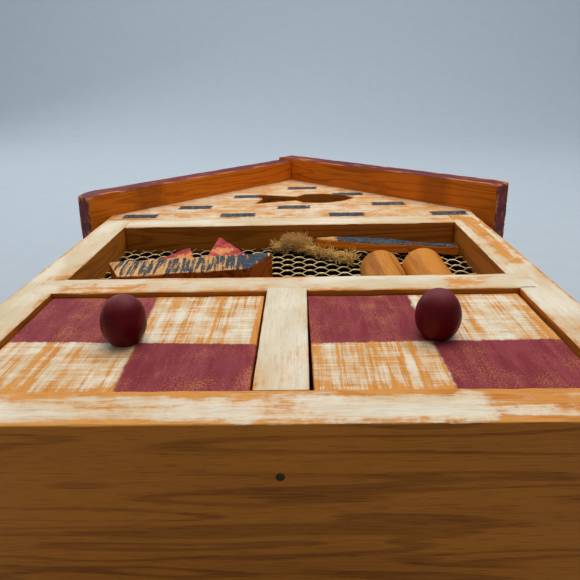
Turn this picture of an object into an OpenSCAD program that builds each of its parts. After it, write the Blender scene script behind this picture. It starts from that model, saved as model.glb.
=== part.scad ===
// House-shaped wooden wall cabinet, lying on its back: two drawers side by side at the foot, a shallow
// display recess above them, and a gable under a pitched roof.
// X runs across the cabinet, Y from its foot to its ridge, and Z from its back to its front.

/* [Cabinet] */
// Width over the two side boards
cabinet_w = 260; // [220:5:320]
// Depth of the cabinet boards, from the back panel to their front edges
board_d = 89; // [75:1:140]
// Thickness of the cabinet boards
board_t = 19; // [15:0.5:22]
// Thickness of the plywood back panel
back_t = 6; // [4:0.5:9]
// Height of the two drawer openings
drawer_open_h = 88; // [70:1:110]
// Height of the display recess
recess_h = 100; // [96:1:130]
// How far the divider stands to the right of the middle
divider_shift = 1.6; // [-4:0.2:4]
// Depth of the grooves in the sides that hold the ends of the shelf
side_groove = 9.5; // [4:0.5:12]
// Depth of the notch in the shelf that holds the top of the divider
shelf_notch = 3.5; // [2:0.5:6]

/* [Roof] */
// Height of the square shoulders of the gable above the cabinet
shoulder_h = 13.5; // [8:0.5:25]
// Slope of the roof in degrees
roof_pitch = 45; // [40:1:50]
// Thickness of the roof boards
roof_t = 17.5; // [15:0.5:22]
// How far the left roof board runs on past the gable, along the slope
left_eave = 17; // [8:0.5:30]
// How far the right roof board runs on past the gable, along the slope
right_eave = 19.5; // [8:0.5:30]
// How far the right roof board stands proud of the cabinet's front at the ridge
roof_front = 19; // [12:1:30]
// How far the left roof board's front edge lies behind the right one's
left_setback = 2; // [0:0.5:4]
// How much further the right roof board stands out at its eave
right_flare = 1.5; // [0:0.5:10]

/* [Fish-shaped hole in the gable] */
// Length of the hole from tail to nose
hole_l = 78; // [50:1:90]
// Height of the hole across the body
hole_h = 33; // [20:1:40]
// Distance of the hole's middle to the right of the ridge
hole_x = 12; // [-15:1:15]
// Height of the hole's middle above the cabinet
hole_y = 62; // [50:1:70]

/* [Drawers] */
// Thickness of the drawer fronts
front_t = 12; // [9:0.5:16]
// Thickness of the drawer sides, backs and bottoms
box_t = 6; // [4:0.5:9]
// Gap between a drawer front and each side of its opening
front_gap = 1.1; // [0.5:0.1:2]
// Gap over a drawer front
top_gap = 1.2; // [0.5:0.1:2]
// Gap under a drawer
foot_gap = 0.4; // [0.2:0.1:1]
// How far the drawer sides stand in from the edges of the front
box_inset = 0.4; // [0.2:0.1:2]
// Height of the drawer boxes
box_h = 66; // [40:1:68]
// How deep the left front sits behind the cabinet's front
left_recess = 2; // [0:0.5:5]
// How deep the right front sits behind the cabinet's front
right_recess = 2.5; // [0:0.5:5]

/* [Knobs] */
// Diameter of a knob
knob_d = 18; // [14:0.5:24]
// Height of a knob over the drawer front
knob_h = 20; // [16:0.5:26]
// Diameter of a knob's flat foot
knob_foot_d = 11; // [8:0.5:13]
// Diameter of the knob screws
screw_d = 3; // [2.5:0.5:4]
// Clearance of the screw hole in the drawer front
screw_clearance = 0.5; // [0.2:0.1:1]
// How deep a knob screw reaches into its knob
screw_reach = 12; // [8:0.5:14]
// How far the left knob sits to the left of the middle of its front
left_knob_left = 2.2; // [0:0.1:4]
// How far the left knob sits below the middle of its front
left_knob_down = 3; // [0:0.5:6]
// How far the right knob sits to the right of the middle of its front
right_knob_right = 1.3; // [0:0.1:4]

/* [Wire mesh] */
// Depth of the mesh behind the cabinet's front
mesh_depth = 16; // [10:0.5:24]
// Thickness of the mesh
mesh_t = 1.2; // [0.8:0.1:2]
// Width of one diamond of the mesh
diamond_w = 13.7; // [10:0.1:20]
// Height of one diamond of the mesh
diamond_h = 10.2; // [8:0.1:14]
// Width of the strands of the mesh
strand_w = 1.3; // [1:0.1:2]
// Depth of the saw kerfs that hold the mesh
kerf_depth = 3; // [2:0.5:5]

/* [Boat] */
// Length of the hull along its keel
hull_keel = 68; // [50:1:75]
// How far the stern leans out beyond the keel
stern_rake = 8.5; // [2:0.5:12]
// How far the bow leans out beyond the keel
bow_rake = 16.5; // [4:0.5:20]
// Height of the hull
hull_h = 25.5; // [18:0.5:28]
// Slope of the boat in degrees
boat_tilt = 8.5; // [0:0.5:12]
// How far the hull's top stays behind the cabinet's front
hull_sink = 0.5; // [0:0.5:4]
// Thickness of the two sails
sail_t = 6; // [3:0.5:8]
// How far the top of the sails lies behind the top of the hull
sail_step = 2.5; // [0.5:0.5:5]

/* [Fish and posts] */
// Length of the loose fish
fish_l = 95; // [75:1:100]
// Height of the loose fish across its body
fish_h = 13; // [10:0.5:18]
// Thickness of the loose fish
fish_t = 6; // [4:0.5:8]
// Diameter of the round stock that the two half-round posts are split from
post_d = 24.5; // [18:0.5:28]
// Height of the left post
left_post_h = 59; // [40:1:61]
// Height of the right post
right_post_h = 62; // [40:1:64]
// Rounding at the tops of the posts
post_round = 7; // [2:0.5:8]
// Gap between the two posts
post_gap = 1.3; // [0.4:0.1:3]

/* [Nails] */
// Diameter of the finishing nails
nail_d = 1.8; // [1.4:0.1:2.4]
// Length of the finishing nails
nail_l = 38; // [34:1:50]
// Diameter of the nail heads
nail_head_d = 2.8; // [2.6:0.1:4]
// Length of the brads in the back panel
brad_l = 20; // [14:1:25]

/* [Hidden] */
$fn = 48;
small = 0.01; // so that cuts run clear through a face
reach = 600;  // longer than any part of the cabinet

// heights above the foot, and depths from the back
shelf_y = board_t + drawer_open_h;
recess_y = shelf_y + board_t;
top_y = recess_y + recess_h;
cabinet_h = top_y + board_t;
front_z = back_t + board_d;
mesh_z = front_z - mesh_depth;
inner_w = cabinet_w - 2 * board_t;
divider_x = (cabinet_w - board_t) / 2 + divider_shift;

// gable and roof
shoulder_y = cabinet_h + shoulder_h;
gable_rise = cabinet_w / 2 * tan(roof_pitch);
slope_l = cabinet_w / 2 / cos(roof_pitch);
inner_ridge_y = shoulder_y + gable_rise;
outer_ridge_y = inner_ridge_y + roof_t / cos(roof_pitch);
left_edge = -(left_eave * cos(roof_pitch) + roof_t * sin(roof_pitch));
right_edge = cabinet_w + right_eave * cos(roof_pitch) + roof_t * sin(roof_pitch);

// drawers: [left end of the opening, its width, recess of the front, knob's place from its middle]
LEFT = [board_t, divider_x - board_t, left_recess, [-left_knob_left, -left_knob_down]];
RIGHT = [divider_x + board_t, cabinet_w - 2 * board_t - divider_x, right_recess, [right_knob_right, 0]];
front_h = drawer_open_h - top_gap - foot_gap;
pull_screw_head_d = 2.4 * screw_d;
pull_screw_head_h = 2;

// nails
nail_head_h = 1.4;
nail_rows = [0.22, 0.78];
roof_nail_rows = [0.15, 0.5, 0.85];

// boat: its keel's left corner and the outlines of its sails, along the deck and up from it
boat_x = board_t + 24.2;
boat_y = recess_y + 4.6;
jib_outline = [[20, 0], [47, 0], [44, 28]];
main_outline = [[53, 0], [80, 0], [62, 48]];

// posts stand on the shelf
recess_right = cabinet_w - board_t;
post_r = post_d / 2;
left_post_x = recess_right - 55.3;
right_post_x = left_post_x + post_d + post_gap;

// fish: its tail touches the right side, and its nose is raised to lie over the jute
jute_d = 6;
fish_x = recess_right - 0.4;
fish_y = recess_y + 80.5;
nose_lift = jute_d + 1;
fish_lean = asin(nose_lift / fish_l);

// jute strand: the middle of its route across the mesh, measured from under the fish's nose and the shelf
strand_x = fish_x - fish_l + 0.4;
jute_sides = 10;
jute_route = [
    [-26, 90], [-19, 91.5], [-12, 91], [-6, 87.5], [0, 82.5], [6, 77.5], [12, 72], [18, 67], [24, 63.5]
];
tuft_at = [-11, 91];
tuft_h = 8;

// the cabinet's own corner, at its foot, left side and back, goes to its place around the origin
module in_place() translate([-(left_edge + right_edge) / 2, -outer_ridge_y / 2, 0]) children();

// a fish seen from the side, nose at +X, tail at -X, its middle at the origin
module fish_outline(l, h, tail_h, body_share) {
    body_l = l * body_share;
    r = (body_l * body_l / 4 + h * h / 4) / h;
    translate([(l - body_l) / 2, 0]) intersection() {
        translate([0, r - h / 2]) circle(r, $fn = 96);
        translate([0, h / 2 - r]) circle(r, $fn = 96);
    }
    polygon([
        [-l / 2, tail_h / 2], [-l / 2 + l * 0.06, 0], [-l / 2, -tail_h / 2],
        [l / 2 - body_l * 0.8, -h * 0.2], [l / 2 - body_l * 0.8, h * 0.2]
    ]);
}

// a nail with its head's top at the origin, pointing along -Z
module nail(l, d = nail_d) {
    translate([0, 0, -l]) cylinder(h = l - nail_head_h + small, d = d, $fn = 24);
    translate([0, 0, -nail_head_h]) cylinder(h = nail_head_h, d = nail_head_d, $fn = 24);
}

// nails through one side board into the bottom board, the shelf and the top board, from X = 0
module side_nail_row() {
    for (y = [board_t / 2, shelf_y + board_t / 2, top_y + board_t / 2], share = nail_rows)
        translate([0, y, back_t + board_d * share]) rotate([0, -90, 0]) nail(nail_l);
}

module all_side_nails() {
    side_nail_row();
    translate([cabinet_w, 0, 0]) mirror([1, 0, 0]) side_nail_row();
}

// nails through the bottom board into the divider
module divider_nails() {
    for (share = nail_rows)
        translate([divider_x + board_t / 2, 0, back_t + board_d * share]) rotate([90, 0, 0]) nail(nail_l);
}

// nails down through one roof board into the two gables; X runs down the slope from the ridge
module roof_nail_row() {
    for (z = [back_t + board_t / 2, front_z - board_t / 2], share = roof_nail_rows)
        translate([slope_l * share, roof_t, z]) rotate([-90, 0, 0]) nail(nail_l);
}

module on_right_slope() translate([cabinet_w / 2, inner_ridge_y, 0]) rotate([0, 0, -roof_pitch]) children();
module on_left_slope() translate([cabinet_w / 2, inner_ridge_y, 0]) mirror([1, 0, 0])
    rotate([0, 0, -roof_pitch]) children();

module all_roof_nails() {
    on_right_slope() roof_nail_row();
    on_left_slope() roof_nail_row();
}

// brads from behind into the sides, the bottom board and the top board
module all_back_brads() {
    xs = [board_t / 2, cabinet_w - board_t / 2];
    ys = [board_t + drawer_open_h / 2, recess_y + recess_h * 0.25, recess_y + recess_h * 0.8];
    for (x = xs, y = ys) translate([x, y, 0]) rotate([180, 0, 0]) nail(brad_l);
    for (x = [0.35, 0.65], y = [board_t / 2, cabinet_h - board_t / 2])
        translate([cabinet_w * x, y, 0]) rotate([180, 0, 0]) nail(brad_l);
}

// the space that the mesh takes up, kerfs included
module mesh_blank() translate([board_t - kerf_depth, recess_y - kerf_depth, mesh_z - mesh_t])
    cube([inner_w + 2 * kerf_depth, recess_h + 2 * kerf_depth, mesh_t]);

module side_board() difference() {
    translate([0, 0, back_t]) cube([board_t, cabinet_h, board_d]);
    translate([board_t - side_groove, shelf_y, back_t - small]) cube([board_t, board_t, board_d + 2 * small]);
    mesh_blank();
    side_nail_row();
    all_back_brads();
}

module left_side() color("antiquewhite") in_place() side_board();

module right_side() color("antiquewhite") in_place()
    translate([cabinet_w, 0, 0]) mirror([1, 0, 0]) side_board();

module bottom_board() color("antiquewhite") in_place() difference() {
    translate([board_t, 0, back_t]) cube([inner_w, board_t, board_d]);
    all_side_nails();
    divider_nails();
    all_back_brads();
}

module shelf_board() color("antiquewhite") in_place() difference() {
    translate([board_t - side_groove, shelf_y, back_t]) cube([inner_w + 2 * side_groove, board_t, board_d]);
    translate([divider_x, shelf_y - small, back_t - small])
        cube([board_t, shelf_notch + small, board_d + 2 * small]);
    mesh_blank();
    all_side_nails();
}

module center_divider() color("antiquewhite") in_place() difference() {
    translate([divider_x, board_t, back_t]) cube([board_t, drawer_open_h + shelf_notch, board_d]);
    divider_nails();
}

module top_board() color("antiquewhite") in_place() difference() {
    translate([board_t, top_y, back_t]) cube([inner_w, board_t, board_d]);
    mesh_blank();
    all_side_nails();
    all_back_brads();
}

// outline of the house above the cabinet: square shoulders and the two slopes
module gable_outline() polygon([
    [0, cabinet_h], [cabinet_w, cabinet_h], [cabinet_w, shoulder_y],
    [cabinet_w / 2, inner_ridge_y], [0, shoulder_y]
]);

module gable_board() color("antiquewhite") in_place() difference() {
    translate([0, 0, front_z - board_t]) linear_extrude(board_t) difference() {
        gable_outline();
        translate([cabinet_w / 2 + hole_x, cabinet_h + hole_y]) fish_outline(hole_l, hole_h, hole_h, 0.74);
    }
    all_roof_nails();
}

module rear_gable_board() color("peru") in_place() difference() {
    translate([0, 0, back_t]) linear_extrude(board_t) gable_outline();
    all_roof_nails();
}

// one roof board, from past the ridge down the slope; its front edge can stand further out at the eave
module roof_board(eave, stand_out, flare) {
    l = slope_l + eave;
    z = front_z + stand_out;
    difference() {
        mirror([0, 1, 0]) rotate([90, 0, 0]) linear_extrude(roof_t)
            polygon([[-2 * roof_t, 0], [l, 0], [l, z + flare], [-2 * roof_t, z]]);
        roof_nail_row();
    }
}

// the left board butts against the underside of the right one, which laps over its end
module left_roof_board() color("sienna") in_place() difference() {
    on_left_slope() roof_board(left_eave, roof_front - left_setback, 0);
    on_right_slope() translate([-reach / 2, 0, -1]) cube(reach);
}

module right_roof_board() color("sienna") in_place() intersection() {
    on_right_slope() roof_board(right_eave, roof_front, right_flare);
    on_left_slope() translate([-reach / 2, roof_t - reach, -1]) cube(reach);
}

module back_panel() color("burlywood") in_place() difference() {
    linear_extrude(back_t) {
        square([cabinet_w, cabinet_h]);
        gable_outline();
    }
    all_back_brads();
}

// rows of diamonds, every second row shifted by half a diamond, inside a plain rim in the kerfs
module wire_mesh() {
    columns = floor(inner_w / diamond_w);
    rows = floor(2 * (recess_h - 2 * strand_w) / diamond_h) - 1;
    hole_w = diamond_w - strand_w * 1.7;
    hole_tall = diamond_h - strand_w * 1.7;
    margin_x = (inner_w - columns * diamond_w) / 2;
    margin_y = (recess_h - (rows + 1) * diamond_h / 2) / 2;
    color("khaki") in_place() translate([board_t, recess_y, mesh_z - mesh_t]) linear_extrude(mesh_t)
        difference() {
            translate([-kerf_depth, -kerf_depth])
                square([inner_w + 2 * kerf_depth, recess_h + 2 * kerf_depth]);
            for (row = [0:rows - 1], column = [0:columns - 1 - row % 2])
                translate([
                    margin_x + (column + 0.5 + (row % 2) / 2) * diamond_w,
                    margin_y + (row + 1) * diamond_h / 2
                ]) polygon([[-hole_w / 2, 0], [0, -hole_tall / 2], [hole_w / 2, 0], [0, hole_tall / 2]]);
        }
}

// drawers: d is LEFT or RIGHT
function front_w(d) = d[1] - 2 * front_gap;
function front_back_z(d) = front_z - d[2] - front_t;
function knob_at(d) = [d[0] + d[1] / 2, board_t + foot_gap + front_h / 2] + d[3];
function box_x(d) = d[0] + front_gap + box_inset;
function box_w(d) = front_w(d) - 2 * box_inset;

module drawer_front(d) in_place() difference() {
    translate([d[0] + front_gap, board_t + foot_gap, front_back_z(d)]) cube([front_w(d), front_h, front_t]);
    translate([knob_at(d)[0], knob_at(d)[1], front_back_z(d) - small])
        cylinder(h = front_t + 2 * small, d = screw_d + 2 * screw_clearance);
}

module drawer_side(d, x) in_place() translate([x, board_t + foot_gap, back_t])
    cube([box_t, box_h, front_back_z(d) - back_t]);

module drawer_back(d) in_place() translate([box_x(d) + box_t, board_t + foot_gap, back_t])
    cube([box_w(d) - 2 * box_t, box_h, box_t]);

module drawer_bottom(d) in_place() translate([box_x(d) + box_t, board_t + foot_gap, back_t + box_t])
    cube([box_w(d) - 2 * box_t, box_t, front_back_z(d) - back_t - box_t]);

// an egg-shaped knob on a small flat foot, with a blind hole for its screw
module knob(d) in_place() translate([knob_at(d)[0], knob_at(d)[1], front_z - d[2]]) difference() {
    rotate_extrude($fn = 72) intersection() {
        union() {
            translate([0, knob_h / 2]) circle(d = knob_d, $fn = 72);
            translate([0, knob_h - knob_d / 2]) circle(d = knob_d, $fn = 72);
            polygon([
                [0, 0], [knob_foot_d / 2, 0], [knob_d / 2 * 0.93, knob_h * 0.32], [knob_d / 2, knob_h / 2],
                [0, knob_h / 2]
            ]);
        }
        square([knob_d, knob_h]);
    }
    translate([0, 0, -small]) cylinder(h = screw_reach + small, d = screw_d);
}

module knob_screw(d) in_place() translate([knob_at(d)[0], knob_at(d)[1], front_back_z(d)]) {
    translate([0, 0, -pull_screw_head_h]) cylinder(h = pull_screw_head_h, d = pull_screw_head_d);
    cylinder(h = front_t + screw_reach, d = screw_d);
}

module left_drawer_front() color("rosybrown") drawer_front(LEFT);
module left_drawer_left_side() color("burlywood") drawer_side(LEFT, box_x(LEFT));
module left_drawer_right_side() color("burlywood") drawer_side(LEFT, box_x(LEFT) + box_w(LEFT) - box_t);
module left_drawer_back() color("burlywood") drawer_back(LEFT);
module left_drawer_bottom() color("tan") drawer_bottom(LEFT);
module left_knob() color("maroon") knob(LEFT);
module left_knob_screw() color("silver") knob_screw(LEFT);

module right_drawer_front() color("rosybrown") drawer_front(RIGHT);
module right_drawer_left_side() color("burlywood") drawer_side(RIGHT, box_x(RIGHT));
module right_drawer_right_side() color("burlywood") drawer_side(RIGHT, box_x(RIGHT) + box_w(RIGHT) - box_t);
module right_drawer_back() color("burlywood") drawer_back(RIGHT);
module right_drawer_bottom() color("tan") drawer_bottom(RIGHT);
module right_knob() color("maroon") knob(RIGHT);
module right_knob_screw() color("silver") knob_screw(RIGHT);

// the boat's frame: X along the keel, Y up the boat, Z from the mesh
module on_boat() in_place() translate([boat_x, boat_y, mesh_z]) rotate([0, 0, boat_tilt]) children();

module boat_hull() color("slategray") on_boat()
    linear_extrude(mesh_depth - hull_sink)
        polygon([[0, 0], [hull_keel, 0], [hull_keel + bow_rake, hull_h], [-stern_rake, hull_h]]);

module sail(outline) color("indianred") on_boat()
    translate([-stern_rake, hull_h, mesh_depth - hull_sink - sail_step - sail_t]) linear_extrude(sail_t)
        polygon(outline);

module jib_sail() sail(jib_outline);
module main_sail() sail(main_outline);

module fish_cutout() color("steelblue") in_place() translate([fish_x, fish_y, mesh_z + small])
    rotate([0, fish_lean, 0]) translate([-fish_l / 2, 0, 0]) linear_extrude(fish_t)
        mirror([1, 0]) fish_outline(fish_l, fish_h, fish_h * 0.6, 0.82);

// a half-round post with a rounded top, lying on the mesh with its foot on the shelf
module post(x, h) color("goldenrod") in_place() translate([x, recess_y, mesh_z]) intersection() {
    rotate([-90, 0, 0]) rotate_extrude() {
        square([post_r, h - post_round]);
        square([post_r - post_round, h]);
        translate([post_r - post_round, h - post_round]) intersection() {
            circle(post_round);
            square(post_round);
        }
    }
    translate([-post_d, -1, 0]) cube([2 * post_d, h + 2, post_d]);
}

module left_post() post(left_post_x, left_post_h);
module right_post() post(right_post_x, right_post_h);

// the strand is a tube with one ring of points for each point of its route
function route_direction(i) = let (
    a = jute_route[max(i - 1, 0)],
    b = jute_route[min(i + 1, len(jute_route) - 1)],
    v = b - a
) v / norm(v);

function strand_ring(i) = let (d = route_direction(i)) [
    for (k = [0:jute_sides - 1]) let (a = 360 * k / jute_sides) [
        strand_x + jute_route[i][0] - d[1] * cos(a) * jute_d / 2,
        recess_y + jute_route[i][1] + d[0] * cos(a) * jute_d / 2,
        mesh_z + jute_d / 2 + sin(a) * jute_d / 2
    ]
];

module jute_strand() {
    last = len(jute_route) - 1;
    color("darkkhaki") in_place() polyhedron(
        points = [for (i = [0:last]) each strand_ring(i)],
        faces = concat(
            [[for (k = [0:jute_sides - 1]) k]],
            [[for (k = [jute_sides - 1:-1:0]) last * jute_sides + k]],
            [for (i = [0:last - 1], k = [0:jute_sides - 1]) let (n = (k + 1) % jute_sides) [
                i * jute_sides + k, (i + 1) * jute_sides + k, (i + 1) * jute_sides + n, i * jute_sides + n
            ]]
        )
    );
}

// the frayed tuft stands on the strand
module jute_tuft() color("darkkhaki") in_place()
    translate([strand_x + tuft_at[0], recess_y + tuft_at[1], mesh_z + jute_d])
        cylinder(h = tuft_h, r1 = 6.5, r2 = 3);

module side_nails() color("dimgray") in_place() all_side_nails();
module bottom_nails() color("dimgray") in_place() divider_nails();
module roof_nails() color("dimgray") in_place() all_roof_nails();
module back_brads() color("dimgray") in_place() all_back_brads();

left_side();
right_side();
bottom_board();
shelf_board();
center_divider();
top_board();
gable_board();
rear_gable_board();
left_roof_board();
right_roof_board();
back_panel();
wire_mesh();
left_drawer_front();
left_drawer_left_side();
left_drawer_right_side();
left_drawer_back();
left_drawer_bottom();
left_knob();
left_knob_screw();
right_drawer_front();
right_drawer_left_side();
right_drawer_right_side();
right_drawer_back();
right_drawer_bottom();
right_knob();
right_knob_screw();
boat_hull();
jib_sail();
main_sail();
fish_cutout();
left_post();
right_post();
jute_strand();
jute_tuft();
side_nails();
bottom_nails();
roof_nails();
back_brads();
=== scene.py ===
import random
from math import asin, atan2, cos, pi, radians, sin, sqrt, tan

import bmesh
import bpy
from mathutils import Matrix, Vector, noise


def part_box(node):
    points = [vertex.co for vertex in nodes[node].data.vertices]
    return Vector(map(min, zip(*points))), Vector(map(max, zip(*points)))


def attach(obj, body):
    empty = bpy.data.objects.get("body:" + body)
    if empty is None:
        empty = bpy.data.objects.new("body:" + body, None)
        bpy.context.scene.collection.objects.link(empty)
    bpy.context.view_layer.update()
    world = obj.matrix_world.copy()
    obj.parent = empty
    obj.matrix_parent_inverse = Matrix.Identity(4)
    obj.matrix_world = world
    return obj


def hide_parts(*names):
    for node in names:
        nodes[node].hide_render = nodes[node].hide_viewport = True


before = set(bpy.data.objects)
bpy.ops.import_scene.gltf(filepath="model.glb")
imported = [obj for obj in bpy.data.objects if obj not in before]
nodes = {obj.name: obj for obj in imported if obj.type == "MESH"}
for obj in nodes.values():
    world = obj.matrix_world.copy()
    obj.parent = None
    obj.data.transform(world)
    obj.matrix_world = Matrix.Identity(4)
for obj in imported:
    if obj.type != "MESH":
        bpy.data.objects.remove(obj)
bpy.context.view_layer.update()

# X runs from the cabinet's left side, Y from its foot and Z from its back, in millimetres. Only the floor
# and the lights are in metres.
MM = 0.001
ORIGIN = Vector((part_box("left_side")[0].x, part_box("bottom_board")[0].y, 0.0))
CABINET = Matrix.Translation(ORIGIN) @ Matrix.Scale(MM, 4)


def mm_box(node):
    """A CAD node's lowest and highest corners in the cabinet's millimetres."""
    return [(corner - ORIGIN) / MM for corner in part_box(node)]


def turned(x, y, z, degrees):
    """A frame at a point of the cabinet, turned about Z."""
    return CABINET @ Matrix.Translation((x, y, z)) @ Matrix.Rotation(radians(degrees), 4, "Z")


FRONT = mm_box("left_side")[1].z
WIDTH = mm_box("right_side")[1].x
BOARD = mm_box("left_side")[1].x
SHELF_Y = mm_box("shelf_board")[0].y
RECESS_Y = mm_box("shelf_board")[1].y
TOP_Y = mm_box("top_board")[0].y
CABINET_H = mm_box("top_board")[1].y
DIVIDER_X = mm_box("center_divider")[0].x
MESH_Z = mm_box("wire_mesh")[1].z
RIGHT_X = WIDTH - BOARD
ROOF_T = 17.5
SHOULDER_H = 13.5
SHOULDER_Y = CABINET_H + SHOULDER_H
RIDGE_Y = SHOULDER_Y + WIDTH / 2
SLOPE = WIDTH / 2 * sqrt(2)


# ---- camera ----

def make_camera():
    """A camera low in front of the foot, looking down along the cabinet."""
    pitch, yaw, roll = 0.3784, -0.0258, 0.0229  # radians
    place = Vector((139.5, -139.4, FRONT + 98.2))
    look = Vector((sin(yaw) * cos(pitch), cos(yaw) * cos(pitch), -sin(pitch)))
    level = Vector((cos(yaw), -sin(yaw), 0))
    up = level.cross(look)
    right = level * cos(roll) - up * sin(roll)
    top = up * cos(roll) + level * sin(roll)
    camera = bpy.data.objects.new("camera", bpy.data.cameras.new("camera"))
    bpy.context.scene.collection.objects.link(camera)
    camera.data.sensor_width = 36
    camera.data.lens = 34.76
    camera.data.clip_start = 0.005
    pose = Matrix((right, top, -look)).transposed().to_4x4()
    pose.translation = CABINET @ place
    camera.matrix_world = pose
    bpy.context.scene.camera = camera


make_camera()


# ---- meshes ----

def add_object(name, data, body="cabinet"):
    made = bpy.data.objects.new(name, data)
    bpy.context.scene.collection.objects.link(made)
    if body:
        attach(made, body)
    return made


def finish_mesh(name, bm, place, body="cabinet"):
    """Turns a bmesh in local millimetres into an object that rides on a body."""
    bmesh.ops.recalc_face_normals(bm, faces=bm.faces)
    bm.transform(place)
    data = bpy.data.meshes.new(name)
    bm.to_mesh(data)
    bm.free()
    return add_object(name, data, body)


def roughly(p, size, seed):
    """Smooth noise between about -1 and 1 at a point in millimetres."""
    return noise.noise(Vector((p[0] / size + seed, p[1] / size - seed, p[2] / size + 2 * seed)))


class Corner:
    """One rounded corner of an outline whose inside is to its left."""

    def __init__(self, before, at, after, radius):
        self.at = Vector(at)
        into = (self.at - Vector(before)).normalized()
        out = (Vector(after) - self.at).normalized()
        self.normal = Vector((-into.y, into.x))
        out_normal = Vector((-out.y, out.x))
        self.turn = atan2(into.x * out.y - into.y * out.x, into.dot(out))
        self.radius = radius
        self.inward = (self.normal + out_normal).normalized() / max(cos(self.turn / 2), 0.2)

    def used(self, inset):
        """How much of each edge the corner takes up at this inset."""
        r = max(self.radius, inset) if self.turn > 0 else self.radius
        return r * abs(tan(self.turn / 2))

    def point(self, share, inset):
        if self.turn > 0 and inset >= self.radius:
            return self.at + self.inward * inset
        side = 1 if self.turn > 0 else -1
        normal = self.normal.copy()
        normal.rotate(Matrix.Rotation(self.turn * share, 2))
        return self.at + side * self.inward * self.radius - normal * (side * self.radius - inset)


def rim(outline, radius, step, band):
    """The points round an outline: (its place as a function of the inset, bevel share, in a corner)."""
    count = len(outline)
    shares = [p[2] if len(p) > 2 else 1 for p in outline]
    corners = [Corner(outline[i - 1][:2], outline[i][:2], outline[(i + 1) % count][:2], radius)
               for i in range(count)]
    points = []
    for i, corner in enumerate(corners):
        after = corners[(i + 1) % count]
        sharp = abs(corner.turn) > 0.35
        for k in ((0, 0.5, 1) if sharp else (0.5,)):
            points.append((lambda inset, c=corner, k=k: c.point(k, inset),
                           shares[i - 1] + (shares[i] - shares[i - 1]) * k, sharp))
        length = (after.at - corner.at).length
        along = (after.at - corner.at).normalized()
        normal = Vector((-along.y, along.x))
        start, end = corner.used(0), length - after.used(0)
        room = end - start
        spots = []
        if room > 2.5 * band:
            inner = max(1, round((room - 2 * band) / step))
            spots = [start + band + (room - 2 * band) * k / inner for k in range(inner + 1)]

        def spot(inset, s, c=corner, a=after, n=normal, d=along, size=length):
            return c.at + d * min(max(s, c.used(inset)), size - a.used(inset)) + n * inset

        for s in spots:
            points.append((lambda inset, s=s, spot=spot: spot(inset, s), shares[i], False))
    return points


def worn_prism(name, outlines, low, high, place=CABINET, edge=0.7, radius=0.9, step=6.0, band=3.0,
               seed=1.0, chips=0.5, levels=(), shape=None, body="cabinet"):
    """A board sawn to an outline, with holes if there is more than one, its edges eased, dented and chipped.
    Each outline corner is (x, y) or (x, y, share of the bevel on the edge that starts there). The mesh
    carries an attribute, wear: 1 on the edges, 0 on the faces."""
    bm = bmesh.new()
    wear = bm.verts.layers.float.new("wear")
    for outline in outlines:
        points = rim(outline, radius, step, band)
        rings = []

        def bevel_width(base, side, share):
            """How wide the bevel is at a point: uneven, with a chip here and there."""
            spot = (*base, side * 40)
            dent = 0.75 + 0.7 * roughly(spot, 9, seed) + 0.5 * roughly(spot, 3, seed)
            chip = max(0.0, roughly((*base, side * 70), 5, seed + 9) - 0.42) * 5 * chips
            return edge * share * (max(0.3, dent) + chip)

        def ring(side, turn, inner=None):
            """A ring round the low (-1) or high (1) face: on its bevel at turn, or at the inset inner."""
            made = []
            for at, share, _ in points:
                width = bevel_width(at(0), side, share)
                flat = at(width * (1 - cos(turn)) if inner is None else inner)
                drop = width * (1 - sin(turn))
                v = bm.verts.new((flat.x, flat.y, high - drop if side > 0 else low + drop))
                v[wear] = share if inner is None else 0.0
                made.append(v)
            rings.append(made)

        def wall(z):
            made = []
            for at, share, sharp in points:
                flat = at(0)
                v = bm.verts.new((flat.x, flat.y, z))
                v[wear] = share if sharp else 0.0
                made.append(v)
            rings.append(made)

        margin = edge + min(band, (high - low) * 0.3)
        ring(-1, pi / 2, edge + band)
        for turn in (pi / 2, pi / 4, 0):
            ring(-1, turn)
        wall(low + margin)
        for z in levels:
            wall(z)
        wall(high - margin)
        for turn in (0, pi / 4, pi / 2):
            ring(1, turn)
        ring(1, pi / 2, edge + band)
        count, last = len(points), len(rings) - 1
        for r in range(last):
            for i in range(count):
                j = (i + 1) % count
                face = bm.faces.new((rings[r][i], rings[r][j], rings[r + 1][j], rings[r + 1][i]))
                bevel = r in (1, 2, last - 3, last - 2)
                face.smooth = bevel or (points[i][2] and points[j][2])
    bmesh.ops.remove_doubles(bm, verts=bm.verts, dist=0.004)
    for cap in (low, high):
        border = [e for e in bm.edges if e.is_boundary and abs(e.verts[0].co.z - cap) < 1e-4]
        bmesh.ops.triangle_fill(bm, use_beauty=True, use_dissolve=False, edges=border)
    if shape:
        for v in bm.verts:
            v.co = shape(v.co)
    return finish_mesh(name, bm, place, body)


def bridge(bm, rings, smooth=True):
    """Joins each closed ring of vertices to the next one."""
    for one, two in zip(rings, rings[1:]):
        for k in range(len(one)):
            j = (k + 1) % len(one)
            bm.faces.new((one[k], one[j], two[j], two[k])).smooth = smooth


def tube(bm, path, radii, sides):
    """Sweeps a round section along a list of points, with a radius for each, and closes its ends."""
    rings = []
    up = Vector((0.12, 0.2, 1)).normalized()
    for i, p in enumerate(path):
        d = (path[min(i + 1, len(path) - 1)] - path[max(i - 1, 0)]).normalized()
        a = d.cross(up).normalized()
        b = a.cross(d)
        turns = [2 * pi * k / sides for k in range(sides)]
        rings.append([bm.verts.new(p + (a * cos(turn) + b * sin(turn)) * radii[i]) for turn in turns])
    bridge(bm, rings)
    bm.faces.new(rings[0])
    bm.faces.new(rings[-1][::-1])


# ---- materials ----

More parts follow.
